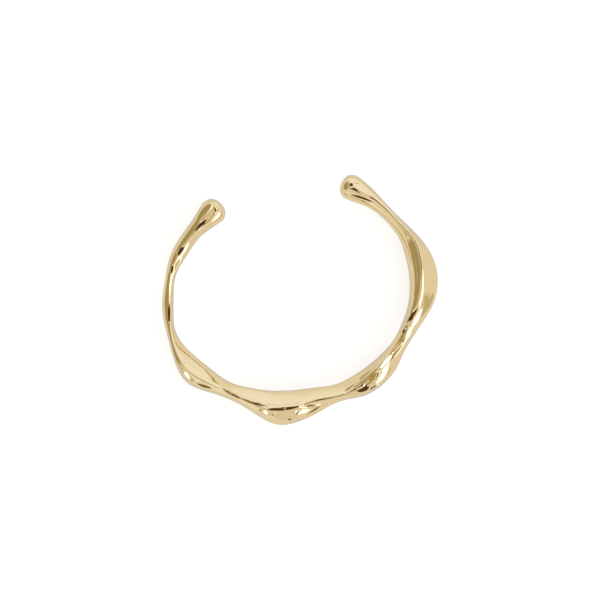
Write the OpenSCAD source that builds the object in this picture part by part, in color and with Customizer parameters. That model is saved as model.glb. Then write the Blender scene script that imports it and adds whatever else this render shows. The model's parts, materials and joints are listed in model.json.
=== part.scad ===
// A one-piece cast cuff bracelet, lying on its side as it rests on a table.
// Z is up through the wrist opening, and the gap between the two ends faces +Y.
// The skin is a smooth loft: every row of SECTIONS is one cut through the bar, and its named
// columns are the corners of a control outline that the skin rounds off.

/* [Size] */
// Inside width across the wrist
inner_w = 57.4; // [52:0.2:64]
// Height of the bar at its tallest lobe, as a share of the modelled one
height_share = 1; // [0.85:0.01:1.15]

/* [Skin] */
// Roundness of the crest along the top, as a share of the facet beside it
crest_round = 0.16; // [0.08:0.02:0.40]
// Roundness of the shoulder and the brow, as a share of the facet beside them
shoulder_round = 0.24; // [0.12:0.02:0.44]
// Height of the upright wall at the inner and outer edge, as a share of the bar's height
wall_share = 0.24; // [0.12:0.02:0.40]
// Width of the worn flat along the underside, as a share of the bar's width
keel_share = 0.30; // [0.16:0.02:0.44]
// Fullness of the rounded ends, where 2 is an ellipse
end_fullness = 2.2; // [2:0.1:3.2]

/* [Mesh] */
// Rings for each row of the table
rings_a_row = 3; // [1:1:3]
// Corners for each corner of the control outline
sides_a_corner = 2; // [1:1:2]
// Rings in each rounded end
end_rings = 7; // [3:1:8]

/* [Hidden] */

// Columns of SECTIONS. ANGLE is degrees anticlockwise round the wrist from +X, the rest are
// millimetres: radii from the wrist's centre, and heights above the table.
ANGLE = 0;
INNER = 1;       // radius of the inner edge
SHOULDER = 2;    // radius of the shoulder, where the inner facet meets the top
CREST = 3;       // radius of the crest, the highest line
DIP = 4;         // radius of the dip between the crest and the brow
BROW = 5;        // radius of the brow, where the outer facet starts
OUTER = 6;       // radius of the outer edge
SHOULDER_Z = 7;
CREST_Z = 8;
DIP_Z = 9;
BROW_Z = 10;
KEEL_Z = 11;     // height of the underside

SECTIONS = [
    // angle inner shldr crest   dip  brow outer  shl_z crs_z dip_z brw_z keel_z
    [130, 22.8, 24.2, 26.4, 27.4, 28.3, 29.2,  4.85, 5.05, 4.9, 4.5, 0.0],
    [136, 23.6, 24.7, 26.4, 27.3, 28.1, 28.8,  5.25, 5.5, 5.3, 4.9, 0.0],
    [142, 24.8, 25.7, 26.8, 27.5, 28.2, 28.9,  5.2, 5.6, 5.35, 4.95, 0.2],
    [148, 25.8, 26.4, 27.7, 28.2, 28.8, 29.5,  4.9, 5.45, 5.25, 4.9, 0.5],
    [154, 26.3, 26.9, 28.3, 28.8, 29.4, 30.3,  4.8, 5.35, 5.15, 4.8, 0.8],
    [160, 27.4, 27.9, 29.1, 29.6, 30.1, 30.8,  4.7, 5.25, 5.05, 4.75, 1.1],
    [166, 28.7, 29.0, 29.75, 30.1, 30.5, 31.0,  4.65, 5.1, 4.95, 4.65, 1.4],
    [172, 29.1, 29.4, 30.2, 30.6, 31.0, 31.5,  4.6, 5.1, 4.95, 4.65, 1.6],
    [178, 29.4, 29.7, 30.4, 30.9, 31.5, 32.3,  4.7, 5.2, 5.0, 4.7, 1.6],
    [184, 30.0, 30.4, 31.0, 31.5, 32.1, 32.8,  4.9, 5.4, 5.2, 4.9, 1.7],
    [190, 31.0, 31.2, 31.9, 32.3, 32.6, 33.1,  5.3, 5.8, 5.6, 5.3, 1.8],
    [196, 31.2, 31.9, 32.6, 32.9, 33.2, 33.6,  6.0, 6.4, 6.2, 5.9, 1.6],
    [202, 30.6, 32.5, 33.15, 33.6, 34.0, 34.5,  6.7, 7.0, 6.75, 6.6, 0.9],
    [208, 29.9, 32.4, 33.15, 33.75, 34.4, 35.6,  7.1, 7.5, 7.25, 7.6, 0.0],
    [214, 29.3, 31.8, 32.65, 33.4, 34.3, 36.0,  7.4, 7.8, 7.2, 7.3, 0.0],
    [220, 29.1, 30.9, 31.5, 32.2, 33.2, 34.5,  7.2, 7.6, 7.1, 6.6, 0.2],
    [226, 29.0, 30.1, 30.7, 31.2, 31.9, 32.9,  6.8, 7.3, 7.1, 6.7, 1.0],
    [232, 28.5, 29.8, 30.4, 30.8, 31.3, 32.4,  6.6, 7.1, 6.9, 6.5, 1.6],
    [238, 27.6, 29.7, 30.4, 30.9, 31.5, 32.5,  6.75, 7.2, 7.0, 6.6, 1.4],
    [244, 27.2, 29.6, 30.4, 31.1, 32.1, 33.4,  7.2, 7.6, 7.4, 7.0, 0.7],
    [250, 26.8, 29.4, 30.4, 31.4, 33.0, 34.7,  7.5, 7.95, 7.7, 7.2, 0.0],
    [256, 26.3, 28.9, 30.0, 31.0, 33.4, 35.2,  7.6, 8.1, 7.85, 7.3, 0.0],
    [262, 26.0, 28.3, 29.3, 30.4, 32.6, 33.8,  7.5, 7.95, 7.8, 7.4, 0.2],
    [268, 25.8, 27.7, 28.75, 29.9, 31.5, 32.8,  7.1, 7.6, 6.4, 6.2, 0.8],
    [274, 26.0, 27.6, 28.8, 29.7, 30.4, 31.3,  6.9, 7.35, 6.1, 5.9, 1.4],
    [280, 26.5, 28.1, 29.0, 29.5, 30.0, 30.6,  6.8, 7.3, 6.8, 6.4, 1.7],
    [286, 26.6, 28.2, 29.1, 29.6, 30.3, 31.1,  6.8, 7.25, 7.0, 6.5, 1.5],
    [292, 26.6, 27.9, 29.1, 30.0, 31.1, 32.5,  6.8, 7.25, 7.1, 7.0, 0.9],
    [298, 26.7, 27.8, 29.1, 30.2, 31.6, 32.7,  6.9, 7.45, 7.6, 7.25, 0.3],
    [304, 26.8, 27.7, 29.2, 30.2, 31.7, 32.6,  7.1, 7.4, 7.25, 6.7, 0.2],
    [310, 27.0, 28.0, 29.5, 30.1, 31.2, 32.4,  7.3, 6.9, 6.4, 5.5, 0.7],
    [316, 27.3, 28.4, 29.7, 30.1, 30.5, 31.2,  6.9, 6.8, 6.45, 5.8, 1.3],
    [322, 27.5, 28.4, 29.8, 30.2, 30.6, 31.0,  6.4, 6.85, 6.45, 5.8, 1.7],
    [328, 27.4, 28.1, 28.8, 30.2, 30.9, 31.4,  6.6, 6.95, 6.6, 5.8, 1.6],
    [334, 27.6, 28.1, 28.9, 29.9, 31.1, 32.2,  6.7, 7.1, 6.9, 6.1, 0.9],
    [340, 27.7, 28.4, 29.8, 30.5, 31.7, 33.5,  6.7, 7.2, 6.7, 5.8, 0.2],
    [346, 27.6, 28.6, 30.2, 30.9, 32.2, 34.2,  6.95, 7.5, 7.05, 6.1, 0.0],
    [352, 27.5, 28.7, 30.3, 31.0, 32.4, 34.4,  7.05, 7.75, 7.2, 6.2, 0.0],
    [358, 27.3, 28.7, 30.5, 31.1, 32.3, 34.1,  7.05, 7.85, 7.3, 6.35, 0.0],
    [364, 27.1, 28.7, 30.6, 31.1, 31.9, 33.2,  6.9, 7.65, 7.2, 6.5, 0.3],
    [370, 27.2, 28.7, 30.6, 30.9, 31.2, 32.0,  6.65, 7.25, 7.0, 6.5, 0.9],
    [376, 27.1, 28.4, 29.7, 30.0, 30.2, 30.7,  6.2, 6.7, 6.5, 6.1, 1.5],
    [382, 26.5, 27.6, 28.7, 29.0, 29.2, 29.6,  5.7, 6.1, 5.9, 5.6, 1.7],
    [388, 26.1, 27.0, 28.2, 28.5, 28.7, 29.0,  5.2, 5.6, 5.4, 5.2, 1.5],
    [394, 25.5, 26.7, 28.0, 28.3, 28.6, 28.9,  4.9, 5.3, 5.15, 4.9, 1.1],
    [400, 24.7, 26.1, 27.4, 28.0, 28.5, 29.1,  4.8, 5.2, 5.0, 4.7, 0.5],
    [405, 23.8, 25.2, 26.5, 27.7, 28.6, 29.4,  4.9, 5.3, 5.0, 4.65, 0.0],
    [410, 23.5, 25.0, 26.5, 27.8, 28.7, 29.6,  4.9, 5.3, 5.0, 4.6, 0.0]
];

// Inside width that the table was drawn at
DRAWN_INNER_W = 57.4;
// Length of the rounded ends beyond the first and last row
START_END_LENGTH = 3.0;
LAST_END_LENGTH = 2.6;

size = inner_w / DRAWN_INNER_W;
rows = len(SECTIONS);

// Weights of a uniform cubic B-spline at t, from 0 to 1
function blend(t) = [
    pow(1 - t, 3) / 6,
    (3 * pow(t, 3) - 6 * t * t + 4) / 6,
    (-3 * pow(t, 3) + 3 * t * t + 3 * t + 1) / 6,
    pow(t, 3) / 6
];

function mix(a, b, share) = a + (b - a) * share;

// Row i of the table, with a mirrored row before the first and after the last
function row(i) =
    i < 0 ? 2 * SECTIONS[0] - SECTIONS[1]
    : i > rows - 1 ? 2 * SECTIONS[rows - 1] - SECTIONS[rows - 2]
    : SECTIONS[i];

// The table's columns at a place along the cuff, where whole numbers are rows
function columns(place) =
    let (i = min(floor(place), rows - 2), w = blend(place - i))
    w[0] * row(i - 1) + w[1] * row(i) + w[2] * row(i + 1) + w[3] * row(i + 2);

// Control outline of one section as [radius, height], anticlockwise from the inner wall's foot
function control_outline(c) =
    let (
        middle_z = (c[CREST_Z] + c[KEEL_Z]) / 2,
        wall = wall_share * (c[CREST_Z] - c[KEEL_Z]) / 2,
        width = c[OUTER] - c[INNER],
        keel = (c[INNER] + c[OUTER]) / 2,
        flat = keel_share * width / 2,
        inner_wall = [c[INNER], middle_z + wall],
        shoulder = [c[SHOULDER], c[SHOULDER_Z]],
        crest = [c[CREST], c[CREST_Z]],
        dip = [c[DIP], c[DIP_Z]],
        brow = [c[BROW], c[BROW_Z]],
        outer_wall = [c[OUTER], middle_z + wall]
    )
    [
        [c[INNER], middle_z - wall],
        [c[INNER], middle_z],
        inner_wall,
        mix(shoulder, inner_wall, shoulder_round),
        mix(shoulder, crest, shoulder_round),
        mix(crest, shoulder, crest_round),
        mix(crest, dip, crest_round),
        dip,
        mix(brow, dip, shoulder_round),
        mix(brow, outer_wall, shoulder_round),
        outer_wall,
        [c[OUTER], middle_z],
        [c[OUTER], middle_z - wall],
        [keel + flat, c[KEEL_Z]],
        [keel, c[KEEL_Z]],
        [keel - flat, c[KEEL_Z]]
    ];

// A closed outline rounded off by the B-spline, with sides_a_corner points a corner
function rounded(outline) =
    let (n = len(outline))
    [
        for (i = [0 : n - 1], k = [0 : sides_a_corner - 1])
            let (w = blend(k / sides_a_corner))
            w[0] * outline[(i + n - 1) % n] + w[1] * outline[i]
            + w[2] * outline[(i + 1) % n] + w[3] * outline[(i + 2) % n]
    ];

// Points of a section, turned to its angle round the wrist
function ring(outline, angle) = [
    for (p = outline)
        [p[0] * cos(angle), p[0] * sin(angle), p[1] * height_share] * size
];

// The ring of the bar at a place along the table
function bar_ring(place) =
    let (c = columns(place))
    ring(rounded(control_outline(c)), c[ANGLE]);

function section_centre(c) = [(c[INNER] + c[OUTER]) / 2, (c[CREST_Z] + c[KEEL_Z]) / 2];

// A ring of a rounded end. turn goes from 0 at the bar to 90 at the tip, way is the sense along
// the cuff.
function end_ring(c, length, turn, way) =
    let (
        centre = section_centre(c),
        shrink = pow(cos(turn), 2 / end_fullness),
        advance = length * pow(sin(turn), 2 / end_fullness),
        angle = c[ANGLE] + way * advance / centre[0] * 180 / PI
    )
    ring([for (p = rounded(control_outline(c))) mix(centre, p, shrink)], angle);

function tip(c, length, way) =
    let (centre = section_centre(c))
    ring([centre], c[ANGLE] + way * length / centre[0] * 180 / PI)[0];

end_turns = [for (k = [1 : end_rings - 1]) 90 * k / end_rings];

rings = [
    for (k = [len(end_turns) - 1 : -1 : 0]) end_ring(row(0), START_END_LENGTH, end_turns[k], -1),
    for (k = [0 : (rows - 1) * rings_a_row]) bar_ring(k / rings_a_row),
    for (turn = end_turns) end_ring(row(rows - 1), LAST_END_LENGTH, turn, 1)
];

// Points of the whole skin, first the two tips and then ring after ring
sides = len(rings[0]);
skin_points = [
    tip(row(0), START_END_LENGTH, -1),
    tip(row(rows - 1), LAST_END_LENGTH, 1),
    for (r = rings) each r
];
function at(ring_no, side) = 2 + ring_no * sides + side % sides;

skin_faces = [
    for (s = [0 : sides - 1]) [0, at(0, s), at(0, s + 1)],
    for (r = [0 : len(rings) - 2], s = [0 : sides - 1])
        each [
            [at(r, s), at(r + 1, s), at(r + 1, s + 1)],
            [at(r, s), at(r + 1, s + 1), at(r, s + 1)]
        ],
    for (s = [0 : sides - 1]) [1, at(len(rings) - 1, s + 1), at(len(rings) - 1, s)]
];

function low(axis) = min([for (p = skin_points) p[axis]]);
function high(axis) = max([for (p = skin_points) p[axis]]);

// The cast bar, with its box centred on the origin and its lowest point on the table
module cuff() {
    color([0.86, 0.70, 0.42])
        translate([-(low(0) + high(0)) / 2, -(low(1) + high(1)) / 2, -low(2)])
            polyhedron(points = skin_points, faces = skin_faces, convexity = 6);
}

cuff();
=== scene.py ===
"""Looks for an open cuff bracelet, cast in one piece and polished, lying on its side on a table.

A fine skin is laid over the casting's solid and worked as a carver works a wax: it is rippled,
planed in facets and pressed in strokes. The metal reflects a plain studio round the table.
"""
import json
import math

import bmesh
import bpy
import numpy as np
from mathutils import Matrix, Vector, noise


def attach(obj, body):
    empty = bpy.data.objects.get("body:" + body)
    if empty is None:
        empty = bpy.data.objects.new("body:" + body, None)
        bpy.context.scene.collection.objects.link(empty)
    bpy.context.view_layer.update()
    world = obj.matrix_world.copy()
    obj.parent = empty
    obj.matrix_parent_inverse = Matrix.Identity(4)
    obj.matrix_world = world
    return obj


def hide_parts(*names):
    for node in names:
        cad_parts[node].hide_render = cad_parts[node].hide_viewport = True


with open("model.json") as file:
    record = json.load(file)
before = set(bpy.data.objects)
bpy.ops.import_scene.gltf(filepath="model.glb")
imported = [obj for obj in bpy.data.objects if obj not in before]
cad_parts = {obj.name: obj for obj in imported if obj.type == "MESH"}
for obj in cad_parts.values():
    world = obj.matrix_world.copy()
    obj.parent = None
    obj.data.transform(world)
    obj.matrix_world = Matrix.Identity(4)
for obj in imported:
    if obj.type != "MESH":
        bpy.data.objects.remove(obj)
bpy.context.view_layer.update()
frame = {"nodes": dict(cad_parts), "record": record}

MM = 0.001

# The gap between the cuff's ends faces north, which is +Y, and east is +X. Angles round the wrist
# are in degrees, anticlockwise from east, and run from the gap at 90 round to the gap at 450. The
# record's one mount is the centre of the wrist hollow.
WRIST_CENTRE = Vector(frame["record"]["mounts"][0]["pos_m"])
GAP_ANGLE = 90.0
# Radius in millimetres that turns an angle into a length along the cuff
MID_RADIUS = 30.0

# Skin over the casting
WELD = 0.001 * MM
SUBDIVISIONS = 2
RIPPLES = (
    # size of a wave and its height, both in millimetres
    (5.0, 0.050),
    (2.2, 0.020),
)

# Facets planed on the skin: ovals with a nearly even tilt. A facet's turn is how far its long axis
# swings outwards from the cuff's length, in degrees. Its falls are the millimetres that it drops
# for each millimetre outwards and for each one anticlockwise along the cuff, and its rise lifts
# its middle. The angle and radius are those of its middle, and lengths are in millimetres.
FACETS = {
    # name: (angle, radius, half length, half width, turn, fall outwards, fall along, rise)
    "left_bulb": (131.8, 26.15, 3.7, 1.35, 4, 0.24, -0.05, -0.03),
    "left_end_olive": (130.8, 27.65, 3.3, 0.90, 3, 0.55, -0.04, 0.0),
    "left_end_spot": (127.2, 26.0, 1.0, 0.35, -50, 0.01, -0.07, 0.0),
    "left_streak": (138.6, 26.55, 2.7, 0.50, 8, 0.01, -0.07, -0.03),
    "left_spot_1": (154.5, 28.4, 1.9, 0.65, 18, 0.03, -0.06, -0.03),
    "left_dull": (161.5, 28.6, 2.2, 0.65, 20, -0.12, 0.08, 0.05),
    "left_spot_2": (164.0, 29.6, 1.5, 0.48, 8, 0.0, -0.07, -0.03),
    "left_spot_3": (183.8, 31.05, 2.4, 0.50, 14, 0.0, -0.08, -0.05),
    "lobe_1_white": (211.0, 33.9, 1.9, 0.60, -5, -0.25, 0.29, -0.13),
    "lobe_1_streak": (219.0, 32.85, 2.4, 0.55, -22, -0.06, -0.06, -0.08),
    "neck_flat_1": (231.5, 30.5, 4.2, 0.50, -3, -0.235, -0.04, -0.02),
    "neck_flat_2": (241.0, 30.35, 4.0, 0.50, 0, -0.24, -0.03, -0.02),
    "lobe_2_flat_1": (252.5, 30.4, 3.6, 0.56, -11, -0.105, -0.02, -0.05),
    "lobe_2_flat_2": (259.8, 29.65, 2.8, 0.46, -13, -0.115, 0.0, -0.05),
    "lobe_2_plateau": (255.3, 32.1, 3.1, 1.30, -3, 0.32, 0.0, -0.15),
    "lobe_2_west": (248.0, 31.75, 1.9, 0.72, 0, 0.0, 0.42, -0.13),
    "lobe_2_spot": (258.3, 32.75, 0.9, 0.50, -15, -0.12, 0.0, -0.02),
    "lobe_2_white": (261.6, 31.1, 1.0, 0.42, 100, -0.12, -0.02, 0.0),
    "lobe_2_upper_edge": (268.4, 31.2, 3.0, 0.50, -25, -0.12, 0.02, 0.0),
    "lobe_2_lower_edge": (267.6, 29.65, 2.8, 0.40, 9, -0.12, 0.01, 0.0),
    "lobe_3_dark": (293.8, 30.35, 2.3, 0.80, 10, -0.10, 0.05, -0.05),
    "lobe_3_arc": (297.6, 31.2, 1.7, 0.42, 6, -0.105, 0.055, 0.0),
    "lobe_3_olive": (299.8, 29.35, 3.2, 0.95, 0, -0.32, -0.14, 0.10),
    "lobe_3_hook": (295.2, 29.85, 1.5, 0.48, -20, -0.105, 0.05, -0.04),
    "lobe_3_band": (310.0, 28.7, 3.2, 0.75, 8, 0.41, 0.20, -0.05),
    "neck_tan": (318.5, 29.0, 2.2, 0.55, 4, 0.15, -0.12, 0.0),
    "neck_white": (326.4, 29.65, 0.95, 0.55, 5, 0.45, 0.07, -0.05),
    "neck_spot": (327.0, 28.4, 1.0, 0.55, 10, -0.03, 0.08, -0.05),
    "lobe_4_tan": (333.0, 29.45, 2.8, 0.45, 14, 0.14, -0.05, 0.0),
    "lobe_4_white": (335.2, 30.4, 2.5, 0.65, 7, 0.46, 0.0, -0.03),
    "lobe_4_streak": (335.2, 28.9, 3.4, 0.55, 20, -0.02, 0.08, -0.05),
    "right_streak": (403.0, 25.95, 4.2, 0.50, -17, 0.06, 0.05, -0.08),
    "right_pale": (405.0, 27.75, 3.2, 1.00, -4, 0.46, 0.08, 0.0),
    "right_spot": (411.0, 27.2, 0.7, 0.75, 0, 0.07, 0.04, 0.0),
}
# Share of a facet's area, round its rim, that blends into the skin
FACET_EDGE = 0.55
# Most that a facet moves the skin, in millimetres, and how suddenly it stops there
DEEPEST_CUT = 0.45
CUT_SHARPNESS = 4

# Strokes that a brush presses into the skin, each along a smooth curve through places given as
# angle and radius. Lengths are in millimetres.
STROKES = {
    # name: (half width, depth, path)
    "lobe_1_groove": (
        0.30, 0.16,
        ((205.0, 32.9), (209.0, 32.5), (213.0, 31.8), (216.0, 31.2)),
    ),
    "lobe_2_terrace": (
        0.30, 0.15,
        ((247.0, 29.95), (251.0, 29.75), (256.0, 29.35), (262.0, 28.75), (266.0, 28.2), (270.0, 27.9)),
    ),
    "lobe_2_rim": (
        0.30, 0.20,
        ((246.0, 32.4), (250.0, 33.3), (256.0, 33.7), (262.0, 33.2), (268.0, 31.9), (273.0, 30.8)),
    ),
    "lobe_2_crest_flat": (
        0.40, 0.06,
        ((263.0, 29.2), (267.0, 28.75), (271.0, 28.55), (276.0, 28.6), (281.0, 28.8), (286.0, 28.95),
         (291.0, 28.95)),
    ),
    "lobe_3_ring": (
        0.22, 0.10,
        ((296.4, 31.0), (297.3, 31.6), (299.0, 31.75), (300.6, 31.4), (301.0, 30.7), (299.6, 30.25),
         (297.6, 30.35), (296.4, 31.0)),
    ),
    "lobe_3_terrace": (
        0.30, 0.26,
        ((285.0, 28.7), (289.0, 28.4), (294.0, 28.0), (301.0, 27.8), (308.0, 27.8)),
    ),
    "neck_crease": (
        0.25, 0.10,
        ((328.6, 30.9), (329.4, 29.9), (330.9, 28.8)),
    ),
    "lobe_4_terrace": (
        0.30, 0.12,
        ((345.0, 28.9), (358.0, 29.0), (373.0, 29.1)),
    ),
    "right_crest_flat": (
        0.40, 0.05,
        ((377.0, 29.6), (381.0, 28.9), (385.0, 28.5), (395.0, 28.2)),
    ),
}
# Distance between a brush's touches, and how far each one reaches, in half widths
TOUCH_SPACING = 0.5
TOUCH_REACH = 3.0

# Upward part of a normal where the skin starts to take facets and strokes, and where it takes
# their whole depth
SIDE_NORMAL = 0.05
TOP_NORMAL = 0.35
# Times that the facets and strokes are evened out with the skin beside them
POLISH_PASSES = 1

# Polished gold-tone metal, which turns from clear to hazy and from GOLD to WORN_GOLD in clouds
GOLD = (0.81, 0.66, 0.41, 1.0)
WORN_GOLD = (0.79, 0.64, 0.39, 1.0)
CLEAR_ROUGHNESS = 0.035
HAZY_ROUGHNESS = 0.085
CLOUDS_PER_METRE = 180.0
CLOUD_DETAIL = 4.0
# Density of the clouds where the haze starts, and where it is full
HAZE_START = 0.35
HAZE_FULL = 0.70
WEAR = {
    # name: (waves a metre along x, y and z, depth in millimetres)
    "orange_peel": ((900.0, 900.0, 900.0), 0.020),
    "fine_scratches": ((9000.0, 900.0, 4000.0), 0.0015),
}
WEAR_DETAIL = 2.0

# White card on the table, which glows so that the ground is white, and the lamp above it, with
# lengths in metres
CARD_SIZE = 6.0
CARD_COLOUR = (0.45, 0.45, 0.45, 1.0)
CARD_ROUGHNESS = 0.9
GLOW_COLOUR = (1.0, 1.0, 1.0, 1.0)
GLOW_STRENGTH = 0.68
LAMP_DIAMETER = 1.2
LAMP_WATTS = 1.0
LAMP_HEIGHT = 1.0

# Camera of the photograph: a long lens almost straight above, leaning towards the gap. It aims a
# little to the right of the wrist's centre and a little below it, as seen in the picture. Its
# distance and clipping are in metres.
LENS_MM = 100.0
SENSOR_MM = 36.0
CAMERA_DISTANCE = 0.400
CAMERA_ELEVATION = 82.0
CAMERA_AZIMUTH = 9.5
AIM_RIGHT = 1.2 * MM
AIM_DOWN = 4.08 * MM
CLIP_NEAR = 0.01
CLIP_FAR = 20.0

# The studio round the table: a pale tent with patches of light and shade on it, each laid over the
# ones before. The azimuth and elevation are those of a patch's middle, in degrees.
TENT = (0.93, 0.90, 0.80)
STUDIO = {
    # name: (azimuth, elevation, half angle where it is full, half angle where it ends, colour)
    "north_window": (30, 40, 20, 62, (1.08, 1.12, 1.17)),
    "olive_west_wall": (292, 30, 27, 40, (0.46, 0.38, 0.20)),
    "pink_south_wall": (195, 40, 22, 34, (0.86, 0.83, 0.77)),
    "south_west_glow": (217, 15, 12, 26, (1.05, 1.05, 1.04)),
    "east_softbox": (125, 37, 17, 21, (2.2, 2.4, 2.7)),
    "east_stand": (124, 6, 5, 7, (0.66, 0.59, 0.43)),
    "ceiling": (0, 90, 24, 30, (0.80, 0.71, 0.54)),
    "camera_shadow": (CAMERA_AZIMUTH, 88, 11, 17, (0.085, 0.055, 0.025)),
    "under_the_table": (0, -90, 20, 72, (0.70, 0.73, 0.84)),
}


def direction(azimuth, elevation):
    """Unit vector to a compass azimuth, clockwise from north, and an elevation, both in degrees."""
    turn = math.radians(azimuth)
    rise = math.radians(elevation)
    return Vector((math.sin(turn) * math.cos(rise), math.cos(turn) * math.cos(rise), math.sin(rise)))


def ripple(mesh):
    """Moves a skin's vertices along their normals in soft waves, as a hand-poured wax has them."""
    moved = []
    for v in mesh.vertices:
        at = v.co / MM
        height = sum(noise.noise(at / wave) * depth for wave, depth in RIPPLES)
        moved.append(v.co + v.normal * height * MM)
    for v, place in zip(mesh.vertices, moved):
        v.co = place


def unrolled(angle, radius):
    """Places on the cuff's top as millimetres along its length and millimetres of radius."""
    return np.stack([np.radians(angle) * MID_RADIUS, radius], -1)


def plane(skin, height, upward):
    """Lift of the skin, in millimetres, that planes every facet on it.

    A facet's plane passes through the place on the skin's top that is nearest to its middle.
    """
    lift = np.zeros(len(skin))
    top = np.nonzero(upward > TOP_NORMAL)[0]
    for angle, radius, half_length, half_width, turn, fall_out, fall_along, rise in FACETS.values():
        away = skin - unrolled(angle, radius)
        nearest = top[np.argmin((away[top] ** 2).sum(-1))]
        swing = math.radians(turn)
        along = away @ (math.cos(swing), math.sin(swing))
        across = away @ (-math.sin(swing), math.cos(swing))
        inside = 1 - (along / half_length) ** 2 - (across / half_width) ** 2
        share = np.clip(inside / FACET_EDGE, 0.0, 1.0)
        share *= share * (3 - 2 * share) * (upward > 0)
        flat = height[nearest] + lift[nearest] + rise - away @ (fall_along, fall_out)
        cut = flat - height - lift
        lift += share * cut / (1 + (cut / DEEPEST_CUT) ** CUT_SHARPNESS) ** (1 / CUT_SHARPNESS)
    return lift


def on_curve(before, start, end, after, share):
    """The place a share of the way from start to end, on a smooth curve through four places."""
    bend_in = (2 * before - 5 * start + 4 * end - after) * share * share
    bend_out = (3 * start - before - 3 * end + after) * share ** 3
    return start + ((end - before) * share + bend_in + bend_out) / 2


def touches(path, half_width):
    """Places where a brush touches the skin, evenly along the smooth curve through a path."""
    corners = unrolled(*np.array(path).T)
    before_first = 2 * corners[0] - corners[1]
    after_last = 2 * corners[-1] - corners[-2]
    around = np.concatenate([[before_first], corners, [after_last]])
    places = []
    for i in range(len(corners) - 1):
        before, start, end, after = around[i:i + 4]
        steps = math.ceil(np.linalg.norm(end - start) / half_width / TOUCH_SPACING)
        for share in np.arange(steps) / steps:
            places.append(on_curve(before, start, end, after, share))
    return np.array(places + [corners[-1]])


def pressure(places, spots, half_width):
    """How hard a brush's touches on the spots press on each place, where one touch presses 1."""
    away = places[:, None] - spots[None]
    return np.exp(-(away ** 2).sum(-1) / half_width ** 2).sum(1)


def brush(skin):
    """Lift of the skin, in millimetres, under every stroke, which is below 0 as they press it in."""
    lift = np.zeros(len(skin))
    for half_width, depth, path in STROKES.values():
        spots = touches(path, half_width)
        reach = TOUCH_REACH * half_width
        near = ((skin > spots.min(0) - reach) & (skin < spots.max(0) + reach)).all(1)
        hardest = pressure(spots, spots, half_width).max()
        lift[near] -= depth * pressure(skin[near], spots, half_width) / hardest
    return lift


def evened(mesh, lift):
    """The lift of every vertex evened out with its neighbours', as polishing softens an edge."""
    ends = np.empty(len(mesh.edges) * 2, int)
    mesh.edges.foreach_get("vertices", ends)
    start, end = ends.reshape(-1, 2).T
    count = len(lift)
    neighbours = np.bincount(start, minlength=count) + np.bincount(end, minlength=count)
    for _ in range(POLISH_PASSES):
        around = np.bincount(start, lift[end], count) + np.bincount(end, lift[start], count)
        lift = (lift + around / neighbours) / 2
    return lift


def vectors(mesh, attribute):
    """The vertices' places ("co") or normals ("normal"), one row for each vertex."""
    values = np.empty(len(mesh.vertices) * 3)
    mesh.vertices.foreach_get(attribute, values)
    return values.reshape(-1, 3)


def sculpt(mesh):
    """Planes the facets and presses the strokes on the skin's upper side, then evens them out."""
    places = vectors(mesh, "co")
    upward = vectors(mesh, "normal")[:, 2]
    x = places[:, 0] - WRIST_CENTRE.x
    y = places[:, 1] - WRIST_CENTRE.y
    angle = np.degrees(np.arctan2(y, x)) % 360.0
    angle = np.where(angle < GAP_ANGLE, angle + 360.0, angle)
    skin = unrolled(angle, np.hypot(x, y) / MM)
    lift = evened(mesh, plane(skin, places[:, 2] / MM, upward) + brush(skin))
    share = np.clip((upward - SIDE_NORMAL) / (TOP_NORMAL - SIDE_NORMAL), 0.0, 1.0)
    places[:, 2] += lift * share * MM
    mesh.vertices.foreach_set("co", places.ravel())
    mesh.update()


def cage_of(node, name):
    """A mesh of quads from a CAD node's triangles, joined in pairs at any angle, as a cage."""
    bm = bmesh.new()
    bm.from_mesh(frame["nodes"][node].data)
    bmesh.ops.remove_doubles(bm, verts=bm.verts, dist=WELD)
    bmesh.ops.join_triangles(
        bm,
        faces=bm.faces,
        angle_face_threshold=math.pi,
        angle_shape_threshold=math.pi,
    )
    cage = bpy.data.meshes.new(name)
    bm.to_mesh(cage)
    bm.free()
    return cage


def skin_over(node, name):
    """A smooth skin over a CAD node, subdivided from its cage, rippled and sculpted."""
    skin = bpy.data.objects.new(name, cage_of(node, name + "_cage"))
    bpy.context.scene.collection.objects.link(skin)
    smooth = skin.modifiers.new("smooth", "SUBSURF")
    smooth.levels = SUBDIVISIONS
    fine = bpy.data.meshes.new_from_object(
        skin.evaluated_get(bpy.context.evaluated_depsgraph_get())
    )
    skin.modifiers.clear()
    skin.data = fine
    fine.name = name
    ripple(fine)
    sculpt(fine)
    fine.shade_smooth()
    return skin


def add_haze(tree, place, shader):
    """Clouds of polishing haze, which dull the shine and dim the colour a little."""
    cloud = tree.nodes.new("ShaderNodeTexNoise")
    cloud.inputs["Scale"].default_value = CLOUDS_PER_METRE
    cloud.inputs["Detail"].default_value = CLOUD_DETAIL
    tree.links.new(place, cloud.inputs["Vector"])

    haze = tree.nodes.new("ShaderNodeMapRange")
    haze.inputs["From Min"].default_value = HAZE_START
    haze.inputs["From Max"].default_value = HAZE_FULL
    haze.inputs["To Min"].default_value = CLEAR_ROUGHNESS
    haze.inputs["To Max"].default_value = HAZY_ROUGHNESS
    tree.links.new(cloud.outputs["Fac"], haze.inputs["Value"])
    tree.links.new(haze.outputs["Result"], shader.inputs["Roughness"])

    tint = tree.nodes.new("ShaderNodeMix")
    tint.data_type = "RGBA"
    tint.inputs["A"].default_value = GOLD
    tint.inputs["B"].default_value = WORN_GOLD
    tree.links.new(cloud.outputs["Fac"], tint.inputs["Factor"])
    tree.links.new(tint.outputs["Result"], shader.inputs["Base Color"])


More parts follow.
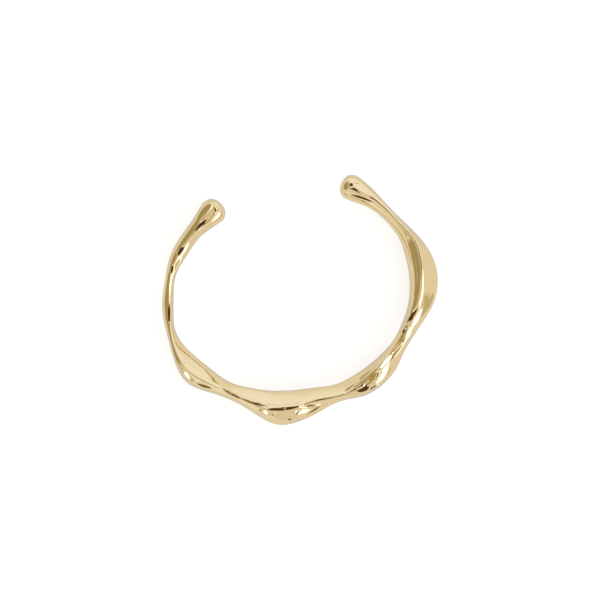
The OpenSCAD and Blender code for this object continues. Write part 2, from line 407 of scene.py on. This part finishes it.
def add_wear(tree, place, shader):
    """Fine relief of the polished casting: each kind of wear is laid over the one before."""
    normal = None
    for name, (per_metre, depth) in WEAR.items():
        stretch = tree.nodes.new("ShaderNodeVectorMath")
        stretch.operation = "MULTIPLY"
        stretch.inputs[1].default_value = per_metre
        tree.links.new(place, stretch.inputs[0])
        grain = tree.nodes.new("ShaderNodeTexNoise")
        grain.name = name
        grain.inputs["Scale"].default_value = 1.0
        grain.inputs["Detail"].default_value = WEAR_DETAIL
        tree.links.new(stretch.outputs["Vector"], grain.inputs["Vector"])
        bump = tree.nodes.new("ShaderNodeBump")
        bump.inputs["Distance"].default_value = depth * MM
        tree.links.new(grain.outputs["Fac"], bump.inputs["Height"])
        if normal is not None:
            tree.links.new(normal, bump.inputs["Normal"])
        normal = bump.outputs["Normal"]
    tree.links.new(normal, shader.inputs["Normal"])


def gold_material():
    """Polished pale gold with a faint uneven polishing haze and fine wear scratches."""
    material = bpy.data.materials.new("polished_gold")
    material.use_nodes = True
    tree = material.node_tree
    shader = tree.nodes["Principled BSDF"]
    shader.inputs["Metallic"].default_value = 1.0
    place = tree.nodes.new("ShaderNodeTexCoord").outputs["Object"]
    add_haze(tree, place, shader)
    add_wear(tree, place, shader)
    return material


def card_material():
    """Plain white card without any shine."""
    material = bpy.data.materials.new("white_card")
    material.use_nodes = True
    shader = material.node_tree.nodes["Principled BSDF"]
    shader.inputs["Base Color"].default_value = CARD_COLOUR
    shader.inputs["Roughness"].default_value = CARD_ROUGHNESS
    shader.inputs["Emission Color"].default_value = GLOW_COLOUR
    shader.inputs["Emission Strength"].default_value = GLOW_STRENGTH
    shader.inputs["Specular IOR Level"].default_value = 0.0
    return material


def table_top():
    """A wide table top, which the metal doesn't reflect."""
    bpy.ops.mesh.primitive_plane_add(size=CARD_SIZE)
    table = bpy.context.object
    table.name = "table_top"
    table.data.materials.append(card_material())
    table.visible_glossy = False


def table_light():
    """Broad light from above that whitens the table and doesn't show in the metal."""
    lamp = bpy.data.lights.new("table_light", "AREA")
    lamp.shape = "DISK"
    lamp.size = LAMP_DIAMETER
    lamp.energy = LAMP_WATTS
    light = bpy.data.objects.new("table_light", lamp)
    light.location = (0.0, 0.0, LAMP_HEIGHT)
    light.visible_glossy = False
    bpy.context.scene.collection.objects.link(light)


def studio_world():
    """The tent and its patches as a world that the metal reflects."""
    world = bpy.data.worlds.new("studio")
    world.use_nodes = True
    tree = world.node_tree
    looking = tree.nodes.new("ShaderNodeTexCoord").outputs["Generated"]
    colour = None
    for name, (azimuth, elevation, full, faded, patch_colour) in STUDIO.items():
        near = tree.nodes.new("ShaderNodeVectorMath")
        near.operation = "DOT_PRODUCT"
        near.inputs[1].default_value = direction(azimuth, elevation)
        tree.links.new(looking, near.inputs[0])
        fade = tree.nodes.new("ShaderNodeMapRange")
        fade.name = name
        fade.interpolation_type = "SMOOTHSTEP"
        fade.inputs["From Min"].default_value = math.cos(math.radians(faded))
        fade.inputs["From Max"].default_value = math.cos(math.radians(full))
        tree.links.new(near.outputs["Value"], fade.inputs["Value"])
        blend = tree.nodes.new("ShaderNodeMix")
        blend.data_type = "RGBA"
        blend.inputs["B"].default_value = (*patch_colour, 1.0)
        tree.links.new(fade.outputs["Result"], blend.inputs["Factor"])
        if colour is None:
            blend.inputs["A"].default_value = (*TENT, 1.0)
        else:
            tree.links.new(colour, blend.inputs["A"])
        colour = blend.outputs["Result"]
    tree.links.new(colour, tree.nodes["Background"].inputs["Color"])
    bpy.context.scene.world = world


def photo_camera():
    """The camera of the photograph, turned and leaned but not rolled."""
    back = direction(CAMERA_AZIMUTH, CAMERA_ELEVATION)
    right = direction(CAMERA_AZIMUTH + 90.0, 0.0)
    up = back.cross(right)
    aim = WRIST_CENTRE + right * AIM_RIGHT - up * AIM_DOWN
    data = bpy.data.cameras.new("photo_camera")
    data.lens = LENS_MM
    data.sensor_width = SENSOR_MM
    data.clip_start = CLIP_NEAR
    data.clip_end = CLIP_FAR
    camera = bpy.data.objects.new("photo_camera", data)
    camera.matrix_world = Matrix((right, up, back)).transposed().to_4x4()
    camera.location = aim + back * CAMERA_DISTANCE
    bpy.context.scene.collection.objects.link(camera)
    bpy.context.scene.camera = camera


cuff = skin_over("cuff", "cast_cuff")
cuff.data.materials.append(gold_material())
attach(cuff, "root")
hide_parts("cuff")

table_top()
table_light()
studio_world()
photo_camera()
bpy.context.scene.view_settings.view_transform = "Standard"
